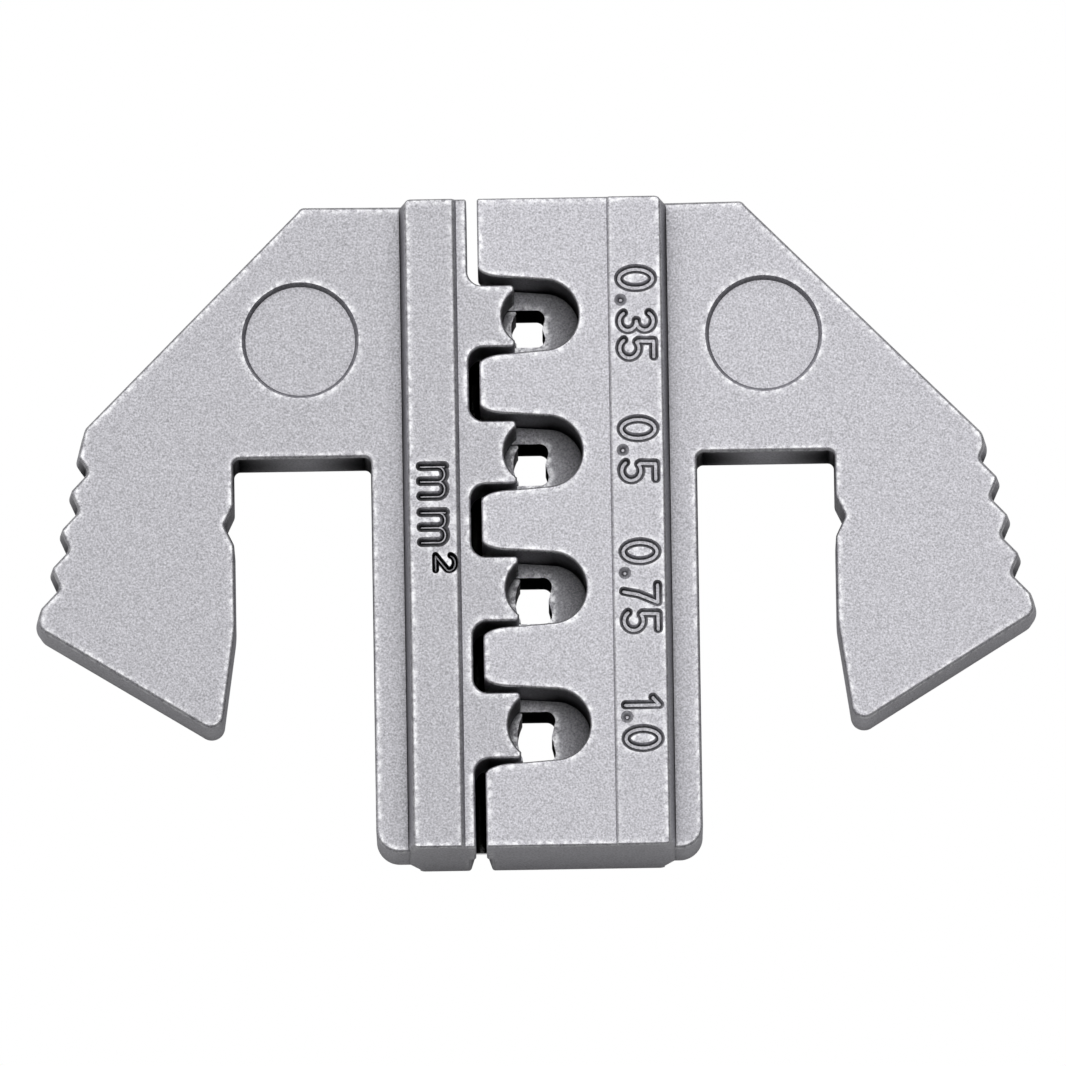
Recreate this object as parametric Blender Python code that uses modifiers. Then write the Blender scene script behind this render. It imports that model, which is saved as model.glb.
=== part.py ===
"""Crimping die pair for open-barrel contacts: an anvil half and a nest half.

Each half is one moulded steel piece. It has a thick die block whose inner face
carries the crimp profiles, and a thinner wing plate with a slot, a leg and a
finger arm that snaps into the tool's jaw. The pair lies on its back, closed
but for a small gap. X is the closing direction, Y runs along the row of
nests, and Z points from the wire stage at the back to the insulation stage
at the front. The origin is under the middle of the pair.
"""
import math

import bmesh
import bpy
from mathutils import Matrix, Vector

MM = 0.001

# Die blocks
block_length = 30.9 * MM
block_thickness = 9.0 * MM
wire_stage_depth = 4.2 * MM
stage_lap = 0.05 * MM
block_draft = 0.28 * MM
block_back_draft = 0.49 * MM
flank_burial = 0.5 * MM
block_edge = 0.12 * MM
block_back_edge = 0.05 * MM
block_corner = 0.3 * MM
rest_gap = 0.5 * MM

# Wing plates, alike on both halves
plate_thickness = 4.8 * MM
plate_draft = 0.15 * MM
plate_edge = 0.2 * MM
plate_top_inset = 0.02 * MM
plate_bottom_inset = 0.06 * MM
slot_width = 6.5 * MM
slot_depth = 18.85 * MM
slot_corner = 0.3 * MM
leg_corner = 1.1 * MM
bevel_corner = 0.5 * MM
disc_radius = 2.77 * MM
disc_depth = 0.2 * MM
disc_draft = 0.12 * MM
disc_height = 9.1 * MM

# Finger arms: widths are counted outward from the slot, heights from mid length
arm_width_at_middle = 8.41 * MM
arm_lean = 0.257
arm_shoulder_round = 0.9 * MM
arm_shoulder_run = 0.6 * MM
serration_count = 4
serration_pitch = 1.83 * MM
serration_depth = 0.64 * MM
serration_first = 2.97 * MM
serration_first_rise = 0.66 * MM
serration_crest_round = 0.4 * MM
serration_root_round = 0.16 * MM
arm_end_width = 9.57 * MM
arm_end_height = -4.48 * MM
arm_end_slope = 0.606
arm_end_round = 0.8 * MM
arm_tip_width = 0.76 * MM
arm_tip_round = 0.7 * MM
arm_taper_start = -4.6 * MM
arm_taper_round = 4.0 * MM
notch_height = 0.32 * MM
notch_half_width = 0.95 * MM
notch_depth = 0.46 * MM
notch_round = 0.22 * MM
notch_lip_round = 0.5 * MM

# Rows of nests and anvils, from the top nest down
nest_count = 4
nest_pitch = 6.5 * MM
nest_row_offset = 0.1 * MM

# Insulation nests, at the front of the nest half
insulation_nest_width = 3.62 * MM
insulation_nest_end_width = 3.34 * MM
insulation_nest_first_depth = 4.73 * MM
insulation_nest_depth_step = 0.085 * MM
insulation_mouth_flare = 0.52 * MM
insulation_mouth_length = 1.4 * MM

# Wire nests, at the back of the nest half
wire_nest_first_width = 1.78 * MM
wire_nest_width_step = 0.21 * MM
wire_nest_first_depth = 3.3 * MM
wire_nest_depth_step = 0.05 * MM
wire_roof_round = 0.42 * MM
wire_cusp_height = 0.3 * MM
wire_cusp_round = 0.15 * MM
wire_mouth_round = 0.55 * MM

# Lands of the wire stage on both halves, relieved above the row and chamfered below it
wire_land_setback = 0.02 * MM
end_land_relief = 0.3 * MM
end_chamfer_across = 0.25 * MM
end_chamfer_along = 0.75 * MM

# Anvils, from the land of the anvil half to their horns
insulation_anvil_first_width = 2.95 * MM
insulation_anvil_width_step = 0.06 * MM
insulation_anvil_length = 2.2 * MM
insulation_anvil_hollow = 0.6 * MM
insulation_horn_width = 0.3 * MM
wire_anvil_clearance = 0.06 * MM
wire_anvil_length = 2.27 * MM
wire_anvil_hollow = 0.24 * MM
wire_horn_width = 0.12 * MM
horn_round_share = 0.6
anvil_root_round = 0.7 * MM
wire_anvil_root_round = 0.4 * MM

# Where the two halves differ, counted from each half's land
anvil_strip_start = 0.49 * MM
anvil_block_depth = 2.92 * MM
anvil_strip_step = 0.28 * MM
anvil_leg_width = 1.78 * MM
anvil_shoulder_height = 4.98 * MM
nest_strip_start = 6.11 * MM
nest_block_depth = 8.67 * MM
nest_strip_step = 0.14 * MM
nest_leg_width = 1.55 * MM
nest_shoulder_height = 3.88 * MM

# Facets
arc_step = math.radians(14)
rounding_steps = 2
disc_facets = 48
sharp_angle = math.radians(35)
straight_angle = math.radians(0.5)
wall_slope = 0.5
overshoot = 1.0 * MM
weld_distance = 0.001 * MM


def clear_scene():
    """Remove what a new file holds."""
    for thing in list(bpy.data.objects):
        bpy.data.objects.remove(thing, do_unlink=True)


def new_collection(name):
    """Collection of its own in the scene."""
    group = bpy.data.collections.new(name)
    bpy.context.scene.collection.children.link(group)
    return group


def steel(name, colour, roughness):
    """Blasted tool steel."""
    material = bpy.data.materials.new(name)
    material.use_nodes = True
    surface = material.node_tree.nodes["Principled BSDF"]
    surface.inputs["Base Color"].default_value = (*colour, 1.0)
    surface.inputs["Metallic"].default_value = 1.0
    surface.inputs["Roughness"].default_value = roughness
    return material


def rounded(corners):
    """Outline through the corners (x, y, radius), each turned by an arc of its radius."""
    points = []
    for index, (x, y, radius) in enumerate(corners):
        corner = Vector((x, y))
        back = (Vector(corners[index - 1][:2]) - corner).normalized()
        onward = (Vector(corners[(index + 1) % len(corners)][:2]) - corner).normalized()
        half_angle = back.angle(onward) / 2
        turned = math.pi - 2 * half_angle
        if radius == 0 or turned < straight_angle:
            points.append(corner)
            continue
        centre = corner + (back + onward).normalized() * radius / math.sin(half_angle)
        first = corner + back * radius / math.tan(half_angle) - centre
        sense = -1 if back.cross(onward) > 0 else 1
        steps = max(2, math.ceil(turned / arc_step))
        for step in range(steps + 1):
            turn = Matrix.Rotation(sense * turned * step / steps, 2)
            points.append(centre + turn @ first)
    return points


def solid_from_outline(name, outline, low, high, place, group):
    """Closed prism on an outline, standing along the axis that place() gives its third value to."""
    form = bmesh.new()
    verts = [form.verts.new(place(x, y, low)) for x, y in outline]
    face = form.faces.new(verts)
    grown = bmesh.ops.extrude_face_region(form, geom=[face])
    lift = Vector(place(0, 0, high)) - Vector(place(0, 0, low))
    moved = [part for part in grown["geom"] if isinstance(part, bmesh.types.BMVert)]
    bmesh.ops.translate(form, verts=moved, vec=lift)
    bmesh.ops.recalc_face_normals(form, faces=form.faces)
    mesh = bpy.data.meshes.new(name)
    form.to_mesh(mesh)
    form.free()
    solid = bpy.data.objects.new(name, mesh)
    group.objects.link(solid)
    return solid


def hide_guide(guide):
    """Keep a cutter or a joined form out of the finished model."""
    guide.hide_render = True
    guide.display_type = "WIRE"


def combine(target, other, operation):
    """Boolean on the target, with the other object as a guide."""
    join = target.modifiers.new(operation.lower() + " " + other.name, "BOOLEAN")
    join.operation = operation
    join.object = other
    hide_guide(other)


def nest_heights():
    """Height of each nest and anvil along the row, from the top one down."""
    top = nest_row_offset + nest_pitch * (nest_count - 1) / 2
    return [top - nest_pitch * index for index in range(nest_count)]


def insulation_nest(index, height):
    """Round-ended nest of the front stage, from its upper lip to its lower one."""
    depth = insulation_nest_first_depth + insulation_nest_depth_step * index
    half_width = insulation_nest_width / 2
    end_radius = insulation_nest_end_width / 2
    steps = math.ceil(math.pi / 2 / arc_step)
    turns = [math.pi / 2 * step / steps for step in range(steps + 1)]
    upper = []
    for turn in turns:
        along = insulation_mouth_length * (1 - math.cos(turn))
        upper.append((along, half_width + insulation_mouth_flare * (1 - math.sin(turn))))
    for turn in turns:
        along = depth - end_radius + end_radius * math.sin(turn)
        upper.append((along, end_radius * math.cos(turn)))
    lower = [(along, -across) for along, across in reversed(upper[:-1])]
    return [(along, height + across, 0) for along, across in upper + lower]


def wire_nest_width(index):
    """Width of a wire nest, which grows down the row."""
    return wire_nest_first_width + wire_nest_width_step * index


def wire_nest(index, height):
    """Nest of the back stage, with a roof of two lobes and a blunt cusp between them."""
    half = wire_nest_width(index) / 2
    depth = wire_nest_first_depth + wire_nest_depth_step * index
    land = wire_land_setback
    return [
        (land, height + half, wire_mouth_round),
        (depth, height + half, wire_roof_round),
        (depth - wire_cusp_height, height, wire_cusp_round),
        (depth, height - half, wire_roof_round),
        (land, height - half, wire_mouth_round),
    ]


def anvil(height, land, width, length, hollow, horn, root_round):
    """Anvil that stands out of the land, with a hollow end between two horns."""
    half = width / 2
    chord = half - horn
    radius = (chord ** 2 + hollow ** 2) / (2 * hollow)
    half_sweep = math.asin(chord / radius)
    steps = 2 * math.ceil(half_sweep / arc_step)
    end = []
    for step in range(steps + 1):
        turn = half_sweep * (1 - 2 * step / steps)
        rise = radius * math.cos(turn) - (radius - hollow)
        end.append((rise - length, height + radius * math.sin(turn), 0))
    horn_round = horn * horn_round_share
    upper = [(land, height + half, root_round), (-length, height + half, horn_round)]
    lower = [(-length, height - half, horn_round), (land, height - half, root_round)]
    return upper + end + lower


def insulation_anvil(index, height):
    """Anvil of the front stage, which grows a little down the row."""
    width = insulation_anvil_first_width + insulation_anvil_width_step * index
    return anvil(height, 0, width, insulation_anvil_length, insulation_anvil_hollow,
                 insulation_horn_width, anvil_root_round)


def wire_anvil(index, height):
    """Anvil of the back stage, a running fit in its wire nest."""
    width = wire_nest_width(index) - 2 * wire_anvil_clearance
    return anvil(height, wire_land_setback, width, wire_anvil_length, wire_anvil_hollow,
                 wire_horn_width, wire_anvil_root_round)


def insulation_row(profile):
    """Run of the front stage: its straight land with a nest or anvil at each height."""
    past_end = block_length / 2 + overshoot
    run = [(0, past_end, 0)]
    for index, height in enumerate(nest_heights()):
        run += profile(index, height)
    return run + [(0, -past_end, 0)]


def wire_row(profile):
    """Run of the back stage, whose land is relieved above the row and chamfered below it."""
    half_length = block_length / 2
    land = wire_land_setback
    relieved = land + end_land_relief
    relief_end = nest_heights()[0] + wire_nest_width(0) / 2 + 2 * wire_mouth_round
    cut = land + end_chamfer_across
    run = [
        (relieved, half_length + overshoot, 0),
        (relieved, relief_end + end_land_relief, 0),
        (land, relief_end, 0),
    ]
    for index, height in enumerate(nest_heights()):
        run += profile(index, height)
    return run + [
        (land, end_chamfer_along - half_length, 0),
        (cut, -half_length, 0),
        (cut, -half_length - overshoot, 0),
    ]


def stage_cutter(name, run, reach, low, high, side, group):
    """Everything in front of a stage's run, from the land out past the anvils."""
    past_end = block_length / 2 + overshoot
    outline = [(-reach, past_end, 0)] + run + [(-reach, -past_end, 0)]
    return solid_from_outline(name, rounded(outline), low, high,
                              lambda x, y, z: (side * x, y, z), group)


def block_section(reach, strip_start, strip_step, depth):
    """Cross-section of a die block across the row, with its proud strip and drafted flanks."""
    stand = (block_thickness - plate_thickness) / 2
    inside = 1 + flank_burial / stand
    face = block_thickness - strip_step
    back = depth + block_draft - block_back_draft
    return [
        (-reach, 0, 0),
        (-reach, face, 0),
        (strip_start, face, 0),
        (strip_start + strip_step / 2, block_thickness, 0),
        (depth, block_thickness, 0),
        (depth + block_draft * inside, block_thickness - stand - flank_burial, 0),
        (back + block_back_draft * inside, stand + flank_burial, 0),
        (back, 0, 0),
    ]


def arm_line(height):
    """Width of a finger arm at a height, over the crests of its serrations."""
    return arm_width_at_middle - arm_lean * height


def wing_outline(depth, leg_width, shoulder):
    """Plate with its slot, leg and finger arm, in widths from the land and heights.

    The bevel runs up from the shoulder at 45 degrees. A shoulder that lies close
    above the first crest takes that crest's place.
    """
    half_length = block_length / 2
    top = half_length - plate_top_inset
    bottom = plate_bottom_inset - half_length
    leg = depth + leg_width
    arm = leg + slot_width
    seat = bottom + slot_depth
    shoulder_width = arm + arm_line(shoulder)
    tip_height = arm_end_height - (arm_end_width - arm_tip_width) * arm_end_slope
    first_crest = serration_first + serration_first_rise
    corners = [
        (depth - overshoot, top, 0),
        (shoulder_width + shoulder - top, top, bevel_corner),
        (shoulder_width, shoulder, arm_shoulder_round),
    ]
    if shoulder - first_crest > arm_shoulder_run:
        corners.append((arm + arm_line(first_crest), first_crest, serration_crest_round))
    for index in range(serration_count):
        root = serration_first - serration_pitch * index
        crest = root - serration_pitch / 2
        corners.append((arm + arm_line(root) - serration_depth, root, serration_root_round))
        corners.append((arm + arm_line(crest), crest, serration_crest_round))
    corners += [
        (arm + arm_end_width, arm_end_height, arm_end_round),
        (arm + arm_tip_width, tip_height, arm_tip_round),
        (arm, arm_taper_start, arm_taper_round),
        (arm, notch_height - notch_half_width, notch_lip_round),
        (arm + notch_depth, notch_height, notch_round),
        (arm, notch_height + notch_half_width, notch_lip_round),
        (arm, seat, slot_corner),
        (leg, seat, slot_corner),
        (leg, bottom, leg_corner),
        (depth - overshoot, bottom, 0),
    ]
    return rounded(corners), leg, arm, seat


def freeze(thing):
    """Make what the modifiers gave the object's own mesh."""
    bpy.context.view_layer.update()
    shaped = thing.evaluated_get(bpy.context.evaluated_depsgraph_get())
    thing.data = bpy.data.meshes.new_from_object(shaped)
    thing.modifiers.clear()


def round_edges(thing, rounding_of):
    """Round each convex edge by the radius that rounding_of() gives it."""
    form = bmesh.new()
    form.from_mesh(thing.data)
    bmesh.ops.remove_doubles(form, verts=form.verts, dist=weld_distance)
    form.normal_update()
    weights = form.edges.layers.float.new("bevel_weight_edge")
    radii = {}
    for edge in form.edges:
        if edge.is_convex and edge.calc_face_angle() > sharp_angle:
            radii[edge] = rounding_of(*(vert.co for vert in edge.verts))
    widest = max(radii.values())
    for edge, radius in radii.items():
        edge[weights] = radius / widest
    form.to_mesh(thing.data)
    form.free()
    bevel = thing.modifiers.new("rounded edges", "BEVEL")
    bevel.limit_method = "WEIGHT"
    bevel.width = widest
    bevel.segments = rounding_steps
    bevel.use_clamp_overlap = False


def block_edge_rounding(face, depth):
    """Rule for a die block: rims front and back and round both ends, and the outer corners."""
    half_length = block_length / 2
    flank = depth + block_draft - block_back_draft

    def rounding(one, other):
        at_end = (min(abs(one.y), abs(other.y)) > half_length - weld_distance
                  and one.y * other.y > 0)
        at_flank = min(abs(one.x), abs(other.x)) > flank - weld_distance
        upright = abs(one.z - other.z) > weld_distance
        if at_end and at_flank and upright:
            return block_corner
        if max(one.z, other.z) < weld_distance:
            return block_back_edge
        at_front = min(one.z, other.z) > face - weld_distance
        return block_edge if at_front or at_end else 0.0
    return rounding


def plate_edge_rounding(one, other):
    """Rule for a wing plate: its rims on both faces are rounded, and no edge between them."""
    return plate_edge if abs(one.z - other.z) < weld_distance else 0.0


def draft_outer_walls(plate, arm, seat, side):
    """Lean the outer walls in towards both faces, with the slot and the closed end straight."""
    middle = block_thickness / 2
    form = bmesh.new()
    form.from_mesh(plate.data)
    everything = form.verts[:] + form.edges[:] + form.faces[:]
    bmesh.ops.bisect_plane(form, geom=everything, plane_co=(0, 0, middle), plane_no=(0, 0, 1))
    form.normal_update()
    outward = {}
    for vert in form.verts:
        if abs(vert.co.z - middle) > weld_distance:
            walls = [face.normal for face in vert.link_faces if abs(face.normal.z) < wall_slope]
            outward[vert] = sum(walls, Vector()).normalized()
    for vert, direction in outward.items():
        share = 1.0 - max(direction.y, 0.0)
        if vert.co.y < seat + weld_distance:
            past_tip = side * vert.co.x - arm - arm_tip_width
            share = min(max(past_tip / (2 * arm_tip_round), 0.0), 1.0)
        vert.co -= direction * plate_draft * share
    form.to_mesh(plate.data)
    form.free()


def make_half(name, side, land_x, sizes, rows, reach, material, group, guides):
    """One die half: block, crimp profiles, wing plate and recessed disc."""
    strip_start, depth, strip_step, leg_width, shoulder = sizes
    front_run, back_run = rows
    half_length = block_length / 2
    section = rounded(block_section(reach, strip_start, strip_step, depth))
    block = solid_from_outline(name, section, -half_length, half_length,
                               lambda x, z, y: (side * x, y, z), group)
    front = stage_cutter(name + "_insulation_stage", front_run, reach + overshoot,
                         wire_stage_depth, block_thickness + overshoot, side, guides)
    back = stage_cutter(name + "_wire_stage", back_run, reach + overshoot,
                        -overshoot, wire_stage_depth + stage_lap, side, guides)
    combine(block, front, "DIFFERENCE")
    combine(block, back, "DIFFERENCE")
    freeze(block)
    for cutter in (front, back):
        bpy.data.objects.remove(cutter, do_unlink=True)
    round_edges(block, block_edge_rounding(block_thickness - strip_step, depth))

    outline, leg, arm, seat = wing_outline(depth, leg_width, shoulder)
    plate_low = (block_thickness - plate_thickness) / 2
    plate_high = plate_low + plate_thickness
    wing = solid_from_outline(name + "_wing", outline, plate_low, plate_high,
                              lambda x, y, z: (side * x, y, z), guides)
    draft_outer_walls(wing, arm, seat, side)
    round_edges(wing, plate_edge_rounding)
    bpy.ops.mesh.primitive_cone_add(
        vertices=disc_facets, radius1=disc_radius - disc_draft, radius2=disc_radius + disc_draft,
        depth=2 * disc_depth, location=(side * (leg + arm) / 2, disc_height, plate_high))
    disc = bpy.context.object
    disc.name = name + "_disc"
    bpy.context.collection.objects.unlink(disc)
    guides.objects.link(disc)
    combine(wing, disc, "DIFFERENCE")
    combine(block, wing, "UNION")

    for guide in (wing, disc):
        guide.parent = block
    block.location.x = land_x
    block.data.materials.append(material)


clear_scene()
parts = new_collection("crimp_die")
guides = new_collection("guides")
anvil_steel = steel("anvil_half_steel", (0.56, 0.56, 0.58), 0.42)
nest_steel = steel("nest_half_steel", (0.58, 0.58, 0.60), 0.42)
end_reach = max(x for x, y in rounded([
    (arm_line(0), 0, 0),
    (arm_end_width, arm_end_height, arm_end_round),
    (arm_tip_width, arm_end_height - (arm_end_width - arm_tip_width) * arm_end_slope, 0),
]))
anvil_reach = anvil_block_depth + anvil_leg_width + slot_width + end_reach
nest_reach = nest_block_depth + nest_leg_width + slot_width + end_reach
nest_land = (anvil_reach + rest_gap - nest_reach) / 2
anvil_land = nest_land - rest_gap
make_half("nest_half", 1, nest_land,
          (nest_strip_start, nest_block_depth, nest_strip_step, nest_leg_width,
           nest_shoulder_height),
          (insulation_row(insulation_nest), wire_row(wire_nest)), overshoot, nest_steel,
          parts, guides)
make_half("anvil_half", -1, anvil_land,
          (anvil_strip_start, anvil_block_depth, anvil_strip_step, anvil_leg_width,
           anvil_shoulder_height),
          (insulation_row(insulation_anvil), wire_row(wire_anvil)),
          wire_anvil_length + overshoot, anvil_steel, parts, guides)
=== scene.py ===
"""Crimping die pair on a white table, seen from almost straight above."""

import math

import bmesh
import bpy
from mathutils import Matrix, Vector


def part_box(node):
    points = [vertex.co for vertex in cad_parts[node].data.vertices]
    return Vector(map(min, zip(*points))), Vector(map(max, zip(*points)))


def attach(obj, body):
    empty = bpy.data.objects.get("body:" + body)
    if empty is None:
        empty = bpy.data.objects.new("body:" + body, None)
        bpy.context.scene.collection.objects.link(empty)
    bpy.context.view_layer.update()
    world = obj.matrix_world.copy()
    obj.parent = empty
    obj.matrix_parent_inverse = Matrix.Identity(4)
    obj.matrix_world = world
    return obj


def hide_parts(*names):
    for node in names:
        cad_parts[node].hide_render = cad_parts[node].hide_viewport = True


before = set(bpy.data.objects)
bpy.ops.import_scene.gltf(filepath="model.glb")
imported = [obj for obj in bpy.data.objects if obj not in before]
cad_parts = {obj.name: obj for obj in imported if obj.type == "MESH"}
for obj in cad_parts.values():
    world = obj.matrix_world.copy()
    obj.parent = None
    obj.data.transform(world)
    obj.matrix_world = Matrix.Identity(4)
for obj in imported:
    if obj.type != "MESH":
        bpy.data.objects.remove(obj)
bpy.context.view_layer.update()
MM = 0.001

# Camera
# A long lens looks at the pair from the open end of its slots, a little off the
# straight view down, and is turned a little clockwise.
view_width = 50.28 * MM
view_elevation = math.radians(82.2)
view_roll = math.radians(-0.9)
view_distance = 1400 * MM
film_width_mm = 36
view_target = Vector((-0.094, -0.56, 9.0)) * MM

camera_data = bpy.data.cameras.new("camera")
camera_data.sensor_width = film_width_mm
camera_data.lens = film_width_mm * view_distance / view_width
camera = bpy.data.objects.new("camera", camera_data)
bpy.context.scene.collection.objects.link(camera)
towards_camera = Vector((0, -math.cos(view_elevation), math.sin(view_elevation)))
camera.location = view_target + view_distance * towards_camera
straight = (-towards_camera).to_track_quat("-Z", "Y").to_matrix().to_4x4()
camera.rotation_euler = (straight @ Matrix.Rotation(view_roll, 4, "Z")).to_euler()
bpy.context.scene.camera = camera
bpy.context.scene.view_settings.view_transform = "Standard"

# Table
# A matt white sheet that photographs as pure white. Only the narrow gap between
# the halves, too deep and too thin for light to reach, gets painted shade on it.
table_half_width = 900 * MM
table_gap = 0.02 * MM
table_tone = 0.6
gap_reach = 1.2 * MM
gap_samples = 24
gap_dark_below = 0.46
gap_white_above = 0.54
gap_middle = Vector((-2.76, -1.4)) * MM
gap_half_width = 0.75 * MM
gap_half_length = 13.2 * MM
gap_fade = 0.1 * MM
reflected_share = 0.05


def feed(owner, socket, value):
    """Link a socket to another one, or set it to a plain value."""
    if isinstance(value, bpy.types.NodeSocket):
        owner.node_tree.links.new(value, socket)
    else:
        socket.default_value = value


def add_node(owner, kind, operation=None, **inputs):
    """Shader node of a material or world, with its sockets fed by name, or by i and a number."""
    node = owner.node_tree.nodes.new(kind)
    if operation:
        node.operation = operation
    for key, value in inputs.items():
        number = key.lstrip("i")
        socket = node.inputs[int(number) if number.isdigit() else key.replace("_", " ")]
        feed(owner, socket, value)
    return node


def calculate(owner, operation, first, second=0.0, third=0.0):
    """Result of a math node, held between 0 and 1 where it multiplies and adds."""
    node = add_node(owner, "ShaderNodeMath", operation, i0=first, i1=second, i2=third)
    node.use_clamp = operation == "MULTIPLY_ADD"
    return node.outputs[0]


def ramp(owner, value, low, high):
    """Value spread from 0 at low to 1 at high, and held beyond."""
    node = add_node(owner, "ShaderNodeMapRange", Value=value, From_Min=low, From_Max=high)
    return node.outputs[0]


def backdrop_share(owner):
    """1 for what the camera sees straight or through glass, less for what metal mirrors."""
    ray = add_node(owner, "ShaderNodeLightPath")
    straight_on = calculate(owner, "ADD", ray.outputs["Is Camera Ray"],
                            ray.outputs["Is Transmission Ray"])
    return calculate(owner, "MULTIPLY_ADD", ray.outputs["Is Glossy Ray"], reflected_share,
                     straight_on)


def table_paper():
    """White paper, pure white to the eye but for painted shade in the thin gap."""
    material = bpy.data.materials.new("table_paper")
    material.use_nodes = True
    material.node_tree.nodes.clear()
    tone = (table_tone, table_tone, table_tone, 1)
    lit = add_node(material, "ShaderNodeBsdfDiffuse", Color=tone)
    # Painted shade: the white dims where little room is open round the sheet, and only within a box
    # round the gap between the halves.
    shade = add_node(material, "ShaderNodeAmbientOcclusion", Distance=gap_reach)
    shade.samples = gap_samples
    clear = ramp(material, shade.outputs["AO"], gap_dark_below, gap_white_above)
    place = add_node(material, "ShaderNodeTexCoord").outputs["Object"]
    place = add_node(material, "ShaderNodeSeparateXYZ", Vector=place)
    for value, middle, reach in ((place.outputs["X"], gap_middle.x, gap_half_width),
                                 (place.outputs["Y"], gap_middle.y, gap_half_length)):
        away = calculate(material, "ABSOLUTE", calculate(material, "SUBTRACT", value, middle))
        outside = ramp(material, away, reach, reach + gap_fade)
        clear = calculate(material, "MAXIMUM", clear, outside)
    white = add_node(material, "ShaderNodeEmission", Strength=clear)
    mixed = add_node(material, "ShaderNodeMixShader", i0=backdrop_share(material),
                     i1=lit.outputs[0], i2=white.outputs[0])
    add_node(material, "ShaderNodeOutputMaterial", Surface=mixed.outputs[0])
    return material


def take_shape(name, form):
    """Object of the mesh that was worked on, placed in the scene."""
    mesh = bpy.data.meshes.new(name)
    form.to_mesh(mesh)
    form.free()
    thing = bpy.data.objects.new(name, mesh)
    bpy.context.scene.collection.objects.link(thing)
    return thing


def build_table():
    """Flat sheet under the pair."""
    form = bmesh.new()
    corners = [(-1, -1), (1, -1), (1, 1), (-1, 1)]
    form.faces.new([form.verts.new((x * table_half_width, y * table_half_width, -table_gap))
                    for x, y in corners])
    table = take_shape("table", form)
    table.data.materials.append(table_paper())
    return table


build_table()

# Lamps
# One wide soft box above and beyond the closed end of the slots, a weaker one from
# the left, and a dim room round them that the camera sees as white.
room_tone = 0.13
overhead_radiance = 1.3
overhead_size = 620 * MM
overhead_place = Vector((-40, 200, 420)) * MM
side_radiance = 0.5
side_size = 300 * MM
side_place = Vector((-420, 20, 260)) * MM


def soft_box(name, place, size, radiance):
    """Square area lamp of an even radiance, turned to the pair and unseen itself."""
    lamp_data = bpy.data.lights.new(name, "AREA")
    lamp_data.size = size
    lamp_data.energy = math.pi * size ** 2 * radiance
    lamp = bpy.data.objects.new(name, lamp_data)
    bpy.context.scene.collection.objects.link(lamp)
    lamp.location = place
    lamp.rotation_euler = (-Vector(place)).to_track_quat("-Z", "Y").to_euler()
    lamp.visible_camera = False
    return lamp


soft_box("overhead_box", overhead_place, overhead_size, overhead_radiance)
soft_box("side_box", side_place, side_size, side_radiance)

room = bpy.data.worlds.new("room")
room.use_nodes = True
room.node_tree.nodes.clear()
dim = add_node(room, "ShaderNodeBackground", Color=(room_tone, room_tone, room_tone, 1))
bright = add_node(room, "ShaderNodeBackground", Color=(1, 1, 1, 1))
seen = add_node(room, "ShaderNodeMixShader", i0=backdrop_share(room), i1=dim.outputs[0],
                i2=bright.outputs[0])
add_node(room, "ShaderNodeOutputWorld", Surface=seen.outputs[0])
bpy.context.scene.world = room

# Nest half
# The right half is one moulded and blasted piece of tool steel. Its thick block
# carries four two-stage nests, and its thinner wing plate a slot, a leg and a
# finger arm that snaps into the tool's jaw. The wire sizes are sunk in its strip.
nest_low, nest_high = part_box("nest_half")
block_length = nest_high[1] - nest_low[1]
block_thickness = nest_high[2] - nest_low[2]
wire_stage_depth = 4.2 * MM
block_draft = 0.28 * MM
block_back_draft = 0.49 * MM
flank_burial = 0.5 * MM
block_edge = 0.12 * MM
block_back_edge = 0.05 * MM
block_corner = 0.3 * MM
wire_land_setback = 0.02 * MM
end_land_relief = 0.3 * MM
end_chamfer_across = 0.25 * MM
end_chamfer_along = 0.75 * MM

plate_thickness = 4.8 * MM
plate_draft = 0.15 * MM
plate_edge = 0.16 * MM
plate_top_inset = 0.02 * MM
plate_bottom_inset = 0.06 * MM
slot_width = 6.5 * MM
slot_depth = 18.85 * MM
slot_corner = 0.3 * MM
leg_corner = 1.1 * MM
bevel_corner = 0.5 * MM
disc_radius = 2.77 * MM
disc_depth = 0.4 * MM
disc_draft = 0.18 * MM
disc_height = 9.1 * MM

arm_width_at_middle = 8.41 * MM
arm_lean = 0.257
arm_shoulder_round = 0.9 * MM
arm_shoulder_run = 0.6 * MM
serration_count = 4
serration_pitch = 1.83 * MM
serration_depth = 0.64 * MM
serration_first = 2.97 * MM
serration_first_rise = 0.66 * MM
serration_crest_round = 0.4 * MM
serration_root_round = 0.16 * MM
arm_end_width = 9.57 * MM
arm_end_height = -4.48 * MM
arm_end_slope = 0.606
arm_end_round = 0.8 * MM
arm_tip_width = 0.76 * MM
arm_tip_round = 0.7 * MM
arm_taper_start = -4.6 * MM
arm_taper_round = 4.0 * MM
notch_height = 0.32 * MM
notch_half_width = 0.95 * MM
notch_depth = 0.46 * MM
notch_round = 0.22 * MM
notch_lip_round = 0.5 * MM

nest_count = 4
nest_pitch = 6.5 * MM
nest_row_offset = 0.1 * MM
insulation_nest_width = 3.62 * MM
insulation_nest_end_width = 3.34 * MM
insulation_nest_first_depth = 4.73 * MM
insulation_nest_depth_step = 0.085 * MM
insulation_mouth_flare = 0.52 * MM
insulation_mouth_length = 1.4 * MM
wire_nest_first_width = 1.78 * MM
wire_nest_width_step = 0.21 * MM
wire_nest_first_depth = 3.3 * MM
wire_nest_depth_step = 0.05 * MM
wire_roof_round = 0.42 * MM
wire_cusp_height = 0.3 * MM
wire_cusp_round = 0.15 * MM
wire_mouth_round = 0.55 * MM

nest_strip_start = 6.11 * MM
nest_block_depth = 8.67 * MM
nest_strip_step = 0.14 * MM
nest_leg_width = 1.55 * MM
nest_shoulder_height = 3.88 * MM

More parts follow.
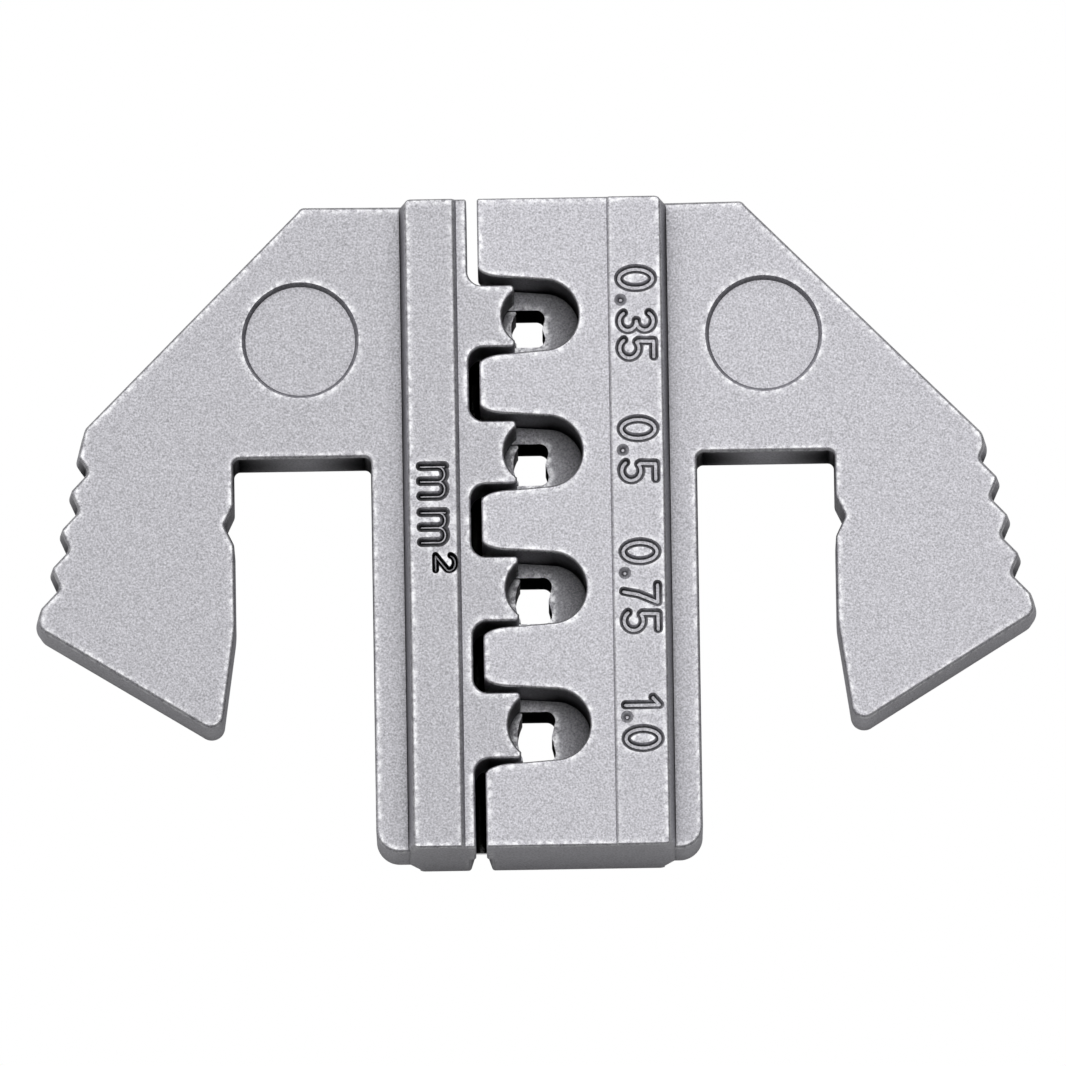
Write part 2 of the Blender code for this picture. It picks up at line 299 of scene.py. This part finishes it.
arc_step = math.radians(5)
disc_facets = 120
sharp_angle = math.radians(32)
straight_angle = math.radians(0.5)
wall_slope = 0.5
overshoot = 1.0 * MM
weld_distance = 0.001 * MM
rounding_steps = 4
stage_lap = 0.05 * MM


def rounded(corners):
    """Outline through the corners (x, y, radius), each turned by an arc of its radius."""
    points = []
    for index, (x, y, radius) in enumerate(corners):
        corner = Vector((x, y))
        back = (Vector(corners[index - 1][:2]) - corner).normalized()
        onward = (Vector(corners[(index + 1) % len(corners)][:2]) - corner).normalized()
        half_angle = back.angle(onward) / 2
        turned = math.pi - 2 * half_angle
        if radius == 0 or turned < straight_angle:
            points.append(corner)
            continue
        centre = corner + (back + onward).normalized() * radius / math.sin(half_angle)
        first = corner + back * radius / math.tan(half_angle) - centre
        sense = -1 if back.cross(onward) > 0 else 1
        steps = max(2, math.ceil(turned / arc_step))
        for step in range(steps + 1):
            turn = Matrix.Rotation(sense * turned * step / steps, 2)
            points.append(centre + turn @ first)
    return points


def solid_from_outline(name, outline, low, high, place):
    """Closed prism on an outline, standing along the axis that place() gives its third value to."""
    form = bmesh.new()
    face = form.faces.new([form.verts.new(place(x, y, low)) for x, y in outline])
    grown = bmesh.ops.extrude_face_region(form, geom=[face])
    lift = Vector(place(0, 0, high)) - Vector(place(0, 0, low))
    moved = [part for part in grown["geom"] if isinstance(part, bmesh.types.BMVert)]
    bmesh.ops.translate(form, verts=moved, vec=lift)
    bmesh.ops.recalc_face_normals(form, faces=form.faces)
    return take_shape(name, form)


def freeze(thing):
    """Make what the modifiers gave the object's own mesh."""
    bpy.context.view_layer.update()
    shaped = thing.evaluated_get(bpy.context.evaluated_depsgraph_get())
    thing.data = bpy.data.meshes.new_from_object(shaped)
    thing.modifiers.clear()


def combine(target, others, operation):
    """Cut or join other solids with the target, and use them up."""
    for other in others:
        step = target.modifiers.new(other.name, "BOOLEAN")
        step.operation = operation
        step.object = other
    freeze(target)
    for other in others:
        bpy.data.objects.remove(other, do_unlink=True)


def nest_heights():
    """Height of each nest and anvil along the row, from the top one down."""
    top = nest_row_offset + nest_pitch * (nest_count - 1) / 2
    return [top - nest_pitch * index for index in range(nest_count)]


def insulation_nest(index, height):
    """Round-ended nest of the front stage, from its upper lip to its lower one."""
    depth = insulation_nest_first_depth + insulation_nest_depth_step * index
    half_width = insulation_nest_width / 2
    end_radius = insulation_nest_end_width / 2
    steps = math.ceil(math.pi / 2 / arc_step)
    turns = [math.pi / 2 * step / steps for step in range(steps + 1)]
    upper = []
    for turn in turns:
        along = insulation_mouth_length * (1 - math.cos(turn))
        upper.append((along, half_width + insulation_mouth_flare * (1 - math.sin(turn))))
    for turn in turns:
        along = depth - end_radius + end_radius * math.sin(turn)
        upper.append((along, end_radius * math.cos(turn)))
    lower = [(along, -across) for along, across in reversed(upper[:-1])]
    return [(along, height + across, 0) for along, across in upper + lower]


def wire_nest_width(index):
    """Width of a wire nest, which grows down the row."""
    return wire_nest_first_width + wire_nest_width_step * index


def wire_nest(index, height):
    """Nest of the back stage, with a roof of two lobes and a blunt cusp between them."""
    half = wire_nest_width(index) / 2
    depth = wire_nest_first_depth + wire_nest_depth_step * index
    land = wire_land_setback
    return [
        (land, height + half, wire_mouth_round),
        (depth, height + half, wire_roof_round),
        (depth - wire_cusp_height, height, wire_cusp_round),
        (depth, height - half, wire_roof_round),
        (land, height - half, wire_mouth_round),
    ]


def insulation_row(profile):
    """Run of the front stage: its straight land with a nest or anvil at each height."""
    past_end = block_length / 2 + overshoot
    run = [(0, past_end, 0)]
    for index, height in enumerate(nest_heights()):
        run += profile(index, height)
    return run + [(0, -past_end, 0)]


def wire_row(profile):
    """Run of the back stage, whose land is relieved above the row and chamfered below it."""
    half_length = block_length / 2
    land = wire_land_setback
    relieved = land + end_land_relief
    relief_end = nest_heights()[0] + wire_nest_width(0) / 2 + 2 * wire_mouth_round
    cut = land + end_chamfer_across
    run = [
        (relieved, half_length + overshoot, 0),
        (relieved, relief_end + end_land_relief, 0),
        (land, relief_end, 0),
    ]
    for index, height in enumerate(nest_heights()):
        run += profile(index, height)
    return run + [
        (land, end_chamfer_along - half_length, 0),
        (cut, -half_length, 0),
        (cut, -half_length - overshoot, 0),
    ]


def stage_cutter(name, run, reach, low, high, side):
    """Everything in front of a stage's run, from the land out past the anvils."""
    past_end = block_length / 2 + overshoot
    outline = [(-reach, past_end, 0)] + run + [(-reach, -past_end, 0)]
    return solid_from_outline(name, rounded(outline), low, high,
                              lambda x, y, z: (side * x, y, z))


def block_section(reach, strip_start, strip_step, depth):
    """Cross-section of a die block across the row, with its proud strip and drafted flanks."""
    stand = (block_thickness - plate_thickness) / 2
    inside = 1 + flank_burial / stand
    face = block_thickness - strip_step
    back = depth + block_draft - block_back_draft
    return [
        (-reach, 0, 0),
        (-reach, face, 0),
        (strip_start, face, 0),
        (strip_start + strip_step / 2, block_thickness, 0),
        (depth, block_thickness, 0),
        (depth + block_draft * inside, block_thickness - stand - flank_burial, 0),
        (back + block_back_draft * inside, stand + flank_burial, 0),
        (back, 0, 0),
    ]


def arm_line(height):
    """Width of a finger arm at a height, over the crests of its serrations."""
    return arm_width_at_middle - arm_lean * height


def wing_outline(depth, leg_width, shoulder):
    """Plate with its slot, leg and finger arm, in widths from the land and heights.

    The bevel runs up from the shoulder at 45 degrees. A shoulder that lies close
    above the first crest takes that crest's place.
    """
    half_length = block_length / 2
    top = half_length - plate_top_inset
    bottom = plate_bottom_inset - half_length
    leg = depth + leg_width
    arm = leg + slot_width
    seat = bottom + slot_depth
    shoulder_width = arm + arm_line(shoulder)
    tip_height = arm_end_height - (arm_end_width - arm_tip_width) * arm_end_slope
    first_crest = serration_first + serration_first_rise
    corners = [
        (depth - overshoot, top, 0),
        (shoulder_width + shoulder - top, top, bevel_corner),
        (shoulder_width, shoulder, arm_shoulder_round),
    ]
    if shoulder - first_crest > arm_shoulder_run:
        corners.append((arm + arm_line(first_crest), first_crest, serration_crest_round))
    for index in range(serration_count):
        root = serration_first - serration_pitch * index
        crest = root - serration_pitch / 2
        corners.append((arm + arm_line(root) - serration_depth, root, serration_root_round))
        corners.append((arm + arm_line(crest), crest, serration_crest_round))
    corners += [
        (arm + arm_end_width, arm_end_height, arm_end_round),
        (arm + arm_tip_width, tip_height, arm_tip_round),
        (arm, arm_taper_start, arm_taper_round),
        (arm, notch_height - notch_half_width, notch_lip_round),
        (arm + notch_depth, notch_height, notch_round),
        (arm, notch_height + notch_half_width, notch_lip_round),
        (arm, seat, slot_corner),
        (leg, seat, slot_corner),
        (leg, bottom, leg_corner),
        (depth - overshoot, bottom, 0),
    ]
    return rounded(corners), leg, arm, seat


def round_edges(thing, rounding_of):
    """Round each convex edge by the radius that rounding_of() gives it."""
    form = bmesh.new()
    form.from_mesh(thing.data)
    bmesh.ops.remove_doubles(form, verts=form.verts, dist=weld_distance)
    form.normal_update()
    weights = form.edges.layers.float.new("bevel_weight_edge")
    radii = {}
    for edge in form.edges:
        if edge.is_convex and edge.calc_face_angle() > sharp_angle:
            radii[edge] = rounding_of(*(vert.co for vert in edge.verts))
    widest = max(radii.values())
    for edge, radius in radii.items():
        edge[weights] = radius / widest
    form.to_mesh(thing.data)
    form.free()
    bevel = thing.modifiers.new("rounded edges", "BEVEL")
    bevel.limit_method = "WEIGHT"
    bevel.width = widest
    bevel.segments = rounding_steps
    bevel.use_clamp_overlap = False
    freeze(thing)


def block_edge_rounding(face, depth):
    """Rule for a die block: rims front and back and round both ends, and the outer corners."""
    half_length = block_length / 2
    flank = depth + block_draft - block_back_draft

    def rounding(one, other):
        at_end = (min(abs(one.y), abs(other.y)) > half_length - weld_distance
                  and one.y * other.y > 0)
        at_flank = min(abs(one.x), abs(other.x)) > flank - weld_distance
        upright = abs(one.z - other.z) > weld_distance
        if at_end and at_flank and upright:
            return block_corner
        if max(one.z, other.z) < weld_distance:
            return block_back_edge
        at_front = min(one.z, other.z) > face - weld_distance
        return block_edge if at_front or at_end else 0.0
    return rounding


def plate_edge_rounding(one, other):
    """Rule for a wing plate: its rims on both faces are rounded, and no edge between them."""
    return plate_edge if abs(one.z - other.z) < weld_distance else 0.0


def draft_outer_walls(plate, arm, seat, side):
    """Lean the outer walls in towards both faces, with the slot and the closed end straight."""
    middle = block_thickness / 2
    form = bmesh.new()
    form.from_mesh(plate.data)
    everything = form.verts[:] + form.edges[:] + form.faces[:]
    bmesh.ops.bisect_plane(form, geom=everything, plane_co=(0, 0, middle), plane_no=(0, 0, 1))
    form.normal_update()
    outward = {}
    for vert in form.verts:
        if abs(vert.co.z - middle) > weld_distance:
            walls = [face.normal for face in vert.link_faces if abs(face.normal.z) < wall_slope]
            outward[vert] = sum(walls, Vector()).normalized()
    for vert, direction in outward.items():
        share = 1.0 - max(direction.y, 0.0) ** 2
        if vert.co.y < seat + weld_distance:
            past_tip = side * vert.co.x - arm - arm_tip_width
            share = min(max(past_tip / (2 * arm_tip_round), 0.0), 1.0)
        vert.co -= direction * plate_draft * share
    form.to_mesh(plate.data)
    form.free()


def disc_cutter(centre):
    """Round plug with leaning walls, half sunk in the face that its centre lies on."""
    form = bmesh.new()
    bmesh.ops.create_cone(form, cap_ends=True, segments=disc_facets, depth=2 * disc_depth,
                          radius1=disc_radius - disc_draft, radius2=disc_radius + disc_draft,
                          matrix=Matrix.Translation(centre))
    return take_shape("disc", form)


def moulded_half(name, side, sizes, rows, reach):
    """One die half: block, crimp profiles, wing plate and recessed disc."""
    strip_start, depth, strip_step, leg_width, shoulder = sizes
    front_run, back_run = rows
    half_length = block_length / 2
    section = rounded(block_section(reach, strip_start, strip_step, depth))
    block = solid_from_outline(name, section, -half_length, half_length,
                               lambda x, z, y: (side * x, y, z))
    front = stage_cutter("insulation_stage", front_run, reach + overshoot, wire_stage_depth,
                         block_thickness + overshoot, side)
    back = stage_cutter("wire_stage", back_run, reach + overshoot, -overshoot,
                        wire_stage_depth + stage_lap, side)
    combine(block, [front, back], "DIFFERENCE")
    round_edges(block, block_edge_rounding(block_thickness - strip_step, depth))

    outline, leg, arm, seat = wing_outline(depth, leg_width, shoulder)
    plate_low = (block_thickness - plate_thickness) / 2
    plate_high = plate_low + plate_thickness
    wing = solid_from_outline("wing", outline, plate_low, plate_high,
                              lambda x, y, z: (side * x, y, z))
    draft_outer_walls(wing, arm, seat, side)
    round_edges(wing, plate_edge_rounding)
    disc_centre = Vector((side * (leg + arm) / 2, disc_height, plate_high))
    combine(wing, [disc_cutter(disc_centre)], "DIFFERENCE")
    combine(block, [wing], "UNION")
    return block


groove_depth = 0.24 * MM
groove_floor = 0.07 * MM
groove_top = 0.23 * MM
dot_top = 0.3 * MM
cap_steps = 10
stroke_step_degrees = 12


def stations_round(path):
    """Points on the way round a path with their headings outwards, fanned out at its ends."""
    if len(path) == 1:
        return [(path[0], math.pi * step / cap_steps) for step in range(2 * cap_steps)]
    headings = []
    for before, after in zip(path[:1] + path[:-1], path[1:] + path[-1:]):
        headings.append(math.atan2(after[1] - before[1], after[0] - before[0]))
    quarter = math.pi / 2
    out = [(point, heading - quarter) for point, heading in zip(path, headings)]
    home = [(point, heading + quarter) for point, heading in zip(path, headings)]
    home.reverse()

    def cap(point, start):
        """Half circle round an end of the path, between its two sides."""
        return [(point, start + math.pi * step / cap_steps) for step in range(1, cap_steps)]
    return out + cap(*out[-1]) + home + cap(*home[-1])


def groove(path, top, floor, depth, lift):
    """Solid of a cutter's run along a path: a flat floor, leaning walls and round ends."""
    profile = [(0, -depth), (floor, -depth), (top, 0), (top, depth), (0, depth)]
    form = bmesh.new()
    rows = []
    for (x, y), outward in stations_round(path):
        rows.append([form.verts.new((x + away * math.cos(outward), y + away * math.sin(outward),
                                     lift + height)) for away, height in profile])
    for index, row in enumerate(rows):
        onward = rows[(index + 1) % len(rows)]
        for low in range(len(profile) - 1):
            form.faces.new((row[low], onward[low], onward[low + 1], row[low + 1]))
    bmesh.ops.remove_doubles(form, verts=form.verts, dist=weld_distance)
    bmesh.ops.recalc_face_normals(form, faces=form.faces)
    return take_shape("groove", form)


def arc(centre_x, centre_y, radius_x, radius_y, start, stop):
    """Points of an elliptic arc between two angles in degrees."""
    steps = math.ceil(abs(stop - start) / stroke_step_degrees)
    turns = [math.radians(start + (stop - start) * step / steps) for step in range(steps + 1)]
    return [(centre_x + radius_x * math.cos(turn), centre_y + radius_y * math.sin(turn))
            for turn in turns]


figure_height = 1.6 * MM


def zero_strokes():
    """Oval of a nought, and its width."""
    width = 0.9 * MM
    across = width / 2
    along = figure_height / 2
    return [arc(across, along, across, along, 0, 180),
            arc(across, along, across, along, 180, 360)], width


def point_strokes():
    """Dimple of a decimal point, and its width."""
    width = 0.12 * MM
    rise = 0.07 * MM
    return [[(width / 2, rise)]], width


def one_strokes():
    """Stem of a one with its flag, and its width."""
    width = 0.34 * MM
    flag_drop = 0.3 * MM
    return [[(0, figure_height - flag_drop), (width, figure_height)],
            [(width, figure_height), (width, 0)]], width


def three_strokes():
    """Two bowls of a three, and its width."""
    radius = figure_height / 4
    width = 0.86 * MM
    upper = arc(width / 2, 3 * radius, width / 2, radius, 150, -90)
    lower = arc(width / 2, radius, width / 2, radius, 90, -150)
    return [upper, lower], width


def five_strokes():
    """Bar, stem and bowl of a five, and its width."""
    width = 0.86 * MM
    bar_end = (0.82 * MM, figure_height)
    bar_start = (0.08 * MM, figure_height)
    waist = (0.06 * MM, 0.88 * MM)
    bowl_middle = 0.4 * MM
    bowl_half_width = 0.46 * MM
    bowl_half_height = 0.45 * MM
    bowl = arc(bowl_middle, bowl_half_height, bowl_half_width, bowl_half_height, 128, -145)
    return [[bar_end, bar_start], [bar_start, waist], [waist, bowl[0]], bowl], width


def seven_strokes():
    """Bar and leg of a seven, and its width."""
    width = 0.82 * MM
    knee = (0.44 * MM, 0.7 * MM)
    foot = (0.3 * MM, 0)
    return [[(0, figure_height), (width, figure_height)],
            [(width, figure_height), knee, foot]], width


figures = {
    "0": zero_strokes,
    ".": point_strokes,
    "1": one_strokes,
    "3": three_strokes,
    "5": five_strokes,
    "7": seven_strokes,
}
figure_gap = 0.46 * MM
point_gap = 0.51 * MM
size_marks_middle = (nest_strip_start + nest_block_depth) / 2 + 0.06 * MM


def size_marks(texts, centre_x, lift):
    """Cutters of one wire size beside each nest, read from the top down, feet to the left."""
    cutters = []
    for text, height in zip(texts, nest_heights()):
        pens = []
        along = 0.0
        for index, letter in enumerate(text):
            strokes, width = figures[letter]()
            pens.append((letter, strokes, along))
            beside_point = "." in text[index:index + 2]
            along += width + (point_gap if beside_point else figure_gap)
        length = along - figure_gap
        for letter, strokes, start in pens:
            top = dot_top if letter == "." else groove_top
            for stroke in strokes:
                path = [(centre_x - figure_height / 2 + y, height + length / 2 - start - x)
                        for x, y in stroke]
                cutters.append(groove(path, top, groove_floor, groove_depth, lift))
    return cutters


grain_size = 0.09 * MM
grain_turn = (0.5, 0.3, 0.2)
grain_contrast = 1.7
grain_depth = 0.02 * MM
grain_strength = 0.35
blotch_size = 1.3 * MM
blotch_contrast = 0.2
nick_size = 0.32 * MM
nick_range = (0.42, 0.62)
shade_samples = 10
# Painted shade: the reaches, ranges and gains below darken crevices, the corners beside walls and
# the walls themselves towards a near black.
crevice_reach = 3.0 * MM
crevice_range = (0.64, 1.0)
crevice_upward_gain = 0.45
corner_reach = 0.5 * MM
corner_range = (0.48, 0.94)
corner_upward_gain = 0.3
rim_reach = 0.4 * MM
rim_range = (0.98, 0.78)
rim_open_range = (0.85, 1.0)
darkest_share = 0.5
lightest_share = 1.5
# Near black of the painted shade in crevices, corners and on walls.
painted_shade_colour = (0.01, 0.01, 0.012, 1)
# Near white of the rims, partly wear and partly painted highlight.
wear_and_highlight_colour = (0.92, 0.92, 0.94, 1)
steel_roughness = 0.5
blotch_roughness = 0.1
worn_smoothing = 0.12
nest_half_colour = (0.61, 0.604, 0.642)


def blend(material, share, first, second):
    """Mix of two colours, from the first at a share of 0 to the second at 1."""
    node = add_node(material, "ShaderNodeMix")
    node.data_type = "RGBA"
    for number, value in ((0, share), (6, first), (7, second)):
        feed(material, node.inputs[number], value)
    return node.outputs[2]


def blasted_steel(name, colour, shift):
    """Blasted tool steel: fine grain, faint blotches, painted shade in crevices and bright rims of
    wear and painted highlight.

    Faces that look up count as more open than walls, so that the painted shade
    darkens the walls and the corners beside them first.
    """
    material = bpy.data.materials.new(name)
    material.use_nodes = True
    place = add_node(material, "ShaderNodeTexCoord").outputs["Object"]
    place = add_node(material, "ShaderNodeMapping", Vector=place, Location=(shift, shift, 0),
                     Rotation=grain_turn).outputs[0]

    def noise(size, detail, roughness):
        """Even pattern of spots of a size."""
        return add_node(material, "ShaderNodeTexNoise", Vector=place, Scale=1 / size,
                        Detail=detail, Roughness=roughness).outputs["Fac"]

    def openness(reach, inside=False):
        """Share of free room round a point, outside the piece or within it."""
        node = add_node(material, "ShaderNodeAmbientOcclusion", Distance=reach)
        node.inside = inside
        node.only_local = True
        node.samples = shade_samples
        return node.outputs["AO"]

    def swing(pattern, contrast, middle):
        """Pattern that swings by a contrast about a middle value."""
        centred = calculate(material, "SUBTRACT", pattern, 0.5)
        return calculate(material, "MULTIPLY_ADD", centred, contrast, middle)

    grain = noise(grain_size, 2.0, 0.6)
    blotch = noise(blotch_size, 4.0, 0.6)
    nick = noise(nick_size, 3.0, 0.7)
    normal = add_node(material, "ShaderNodeNewGeometry").outputs["Normal"]
    upward = add_node(material, "ShaderNodeSeparateXYZ", Vector=normal).outputs["Z"]
    # Painted shade: points with little room open round them, and faces that look less up, fade
    # towards the near black.
    deep = calculate(material, "MULTIPLY_ADD", upward, crevice_upward_gain,
                     openness(crevice_reach))
    near = calculate(material, "MULTIPLY_ADD", upward, corner_upward_gain,
                     openness(corner_reach))
    out_of_painted_shade = calculate(material, "MULTIPLY", ramp(material, deep, *crevice_range),
                         ramp(material, near, *corner_range))
    # Bright rims: convex edges, broken by nicks, turn near white as wear and as painted highlight
    # of the light their rounded edges catch.
    wear_and_rim_highlight = calculate(material, "MULTIPLY", ramp(material, openness(rim_reach, True), *rim_range),
                     ramp(material, nick, *nick_range))
    wear_and_rim_highlight = calculate(material, "MULTIPLY", wear_and_rim_highlight, ramp(material, near, *rim_open_range))

    dark = tuple(part * darkest_share for part in colour) + (1,)
    light = tuple(min(part * lightest_share, 1.0) for part in colour) + (1,)
    tone = swing(blotch, blotch_contrast, swing(grain, grain_contrast, 0.5))
    steel = blend(material, out_of_painted_shade, painted_shade_colour, blend(material, tone, dark, light))
    roughness = calculate(material, "MULTIPLY_ADD", wear_and_rim_highlight, -worn_smoothing,
                          swing(blotch, blotch_roughness, steel_roughness))
    bump = add_node(material, "ShaderNodeBump", Height=grain, Strength=grain_strength,
                    Distance=grain_depth)
    surface = material.node_tree.nodes["Principled BSDF"]
    # The painted shade dims the reflections too, through the specular tint.
    for socket, value in (("Metallic", 1.0),
                          ("Base Color", blend(material, wear_and_rim_highlight, steel, wear_and_highlight_colour)),
                          ("Specular Tint", out_of_painted_shade),
                          ("Roughness", roughness),
                          ("Normal", bump.outputs[0])):
        feed(material, surface.inputs[socket], value)
    return material


def finish_half(piece, material, land_x):
    """Smooth its round faces, keep its flat ones flat, and put it in its place."""
    piece.data.materials.clear()
    piece.data.materials.append(material)
    for face in piece.data.polygons:
        face.use_smooth = True
        face.material_index = 0
    piece.data.set_sharp_from_angle(angle=sharp_angle)
    level = piece.modifiers.new("flat faces lead", "WEIGHTED_NORMAL")
    level.keep_sharp = True
    freeze(piece)
    piece.location.x = land_x


nest_half = moulded_half(
    "nest_half_moulding", 1,
    (nest_strip_start, nest_block_depth, nest_strip_step, nest_leg_width, nest_shoulder_height),
    (insulation_row(insulation_nest), wire_row(wire_nest)), overshoot)
combine(nest_half, size_marks(("0.35", "0.5", "0.75", "1.0"), size_marks_middle,
                              block_thickness), "DIFFERENCE")
finish_half(nest_half, blasted_steel("nest_half_blasted_steel", nest_half_colour, 0.0),
            nest_low[0])
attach(nest_half, "nest_half")
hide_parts("nest_half")

# Anvil half
# The left half is moulded from the same steel. Its narrow block carries four
# two-stage anvils, each a running fit in its nest, and the unit of the wire sizes
# is sunk in its strip.
anvil_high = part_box("anvil_half")[1]
insulation_anvil_first_width = 2.95 * MM
insulation_anvil_width_step = 0.06 * MM
insulation_anvil_length = 2.2 * MM
insulation_anvil_hollow = 0.6 * MM
insulation_horn_width = 0.3 * MM
wire_anvil_clearance = 0.06 * MM
wire_anvil_length = 2.27 * MM
wire_anvil_hollow = 0.24 * MM
wire_horn_width = 0.12 * MM
anvil_root_round = 0.7 * MM
wire_anvil_root_round = 0.4 * MM
horn_round_share = 0.6

anvil_strip_start = 0.49 * MM
anvil_block_depth = 2.92 * MM
anvil_strip_step = 0.28 * MM
anvil_leg_width = 1.78 * MM
anvil_shoulder_height = 4.98 * MM
anvil_half_colour = (0.55, 0.545, 0.578)
anvil_grain_shift = 100 * MM


def anvil(height, land, width, length, hollow, horn, root_round):
    """Anvil that stands out of the land, with a hollow end between two horns."""
    half = width / 2
    chord = half - horn
    radius = (chord ** 2 + hollow ** 2) / (2 * hollow)
    half_sweep = math.asin(chord / radius)
    steps = 2 * math.ceil(half_sweep / arc_step)
    end = []
    for step in range(steps + 1):
        turn = half_sweep * (1 - 2 * step / steps)
        rise = radius * math.cos(turn) - (radius - hollow)
        end.append((rise - length, height + radius * math.sin(turn), 0))
    horn_round = horn * horn_round_share
    upper = [(land, height + half, root_round), (-length, height + half, horn_round)]
    lower = [(-length, height - half, horn_round), (land, height - half, root_round)]
    return upper + end + lower


def insulation_anvil(index, height):
    """Anvil of the front stage, which grows a little down the row."""
    width = insulation_anvil_first_width + insulation_anvil_width_step * index
    return anvil(height, 0, width, insulation_anvil_length, insulation_anvil_hollow,
                 insulation_horn_width, anvil_root_round)


def wire_anvil(index, height):
    """Anvil of the back stage, a running fit in its wire nest."""
    width = wire_nest_width(index) - 2 * wire_anvil_clearance
    return anvil(height, wire_land_setback, width, wire_anvil_length, wire_anvil_hollow,
                 wire_horn_width, wire_anvil_root_round)


anvil_half = moulded_half(
    "anvil_half_moulding", -1,
    (anvil_strip_start, anvil_block_depth, anvil_strip_step, anvil_leg_width,
     anvil_shoulder_height),
    (insulation_row(insulation_anvil), wire_row(wire_anvil)), wire_anvil_length + overshoot)
unit_foot = -2.34 * MM
unit_start = 2.7 * MM
unit_height = 1.12 * MM
unit_stem_pitch = 0.71 * MM
unit_letter_pitch = 2.19 * MM
unit_arch = 0.32 * MM
unit_top = 0.24 * MM
unit_floor = 0.03 * MM
unit_depth = 0.3 * MM
power_start = 4.25 * MM
power_foot = 0.64 * MM
power_width = 0.7 * MM
power_height = 0.92 * MM
power_bowl_share = 0.3
power_top = 0.17 * MM


def m_strokes(start):
    """Stem and two arches of a small m."""
    strokes = [[(start, 0), (start, unit_height)]]
    for stem in range(2):
        middle = start + unit_stem_pitch * (stem + 0.5)
        arch = arc(middle, unit_height - unit_arch, unit_stem_pitch / 2, unit_arch, 180, 0)
        strokes.append(arch + [(middle + unit_stem_pitch / 2, 0)])
    return strokes


def power_strokes():
    """Raised two: its bowl, slanting leg and foot."""
    half_width = power_width / 2
    bowl = arc(power_start + half_width, power_foot + power_height * (1 - power_bowl_share),
               half_width, power_height * power_bowl_share, 165, -25)
    corner = (power_start, power_foot)
    return [bowl, [bowl[-1], corner], [corner, (power_start + power_width, power_foot)]]


def unit_marks(lift):
    """Cutters of the unit, a bolder square millimetre read from the top down."""
    cutters = []
    for strokes, top in ((m_strokes(0.0) + m_strokes(unit_letter_pitch), unit_top),
                         (power_strokes(), power_top)):
        for stroke in strokes:
            path = [(unit_foot + y, unit_start - x) for x, y in stroke]
            cutters.append(groove(path, top, unit_floor, unit_depth, lift))
    return cutters


combine(anvil_half, unit_marks(block_thickness), "DIFFERENCE")
anvil_steel = blasted_steel("anvil_half_blasted_steel", anvil_half_colour, anvil_grain_shift)
finish_half(anvil_half, anvil_steel, anvil_high[0] - wire_anvil_length)
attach(anvil_half, "anvil_half")
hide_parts("anvil_half")
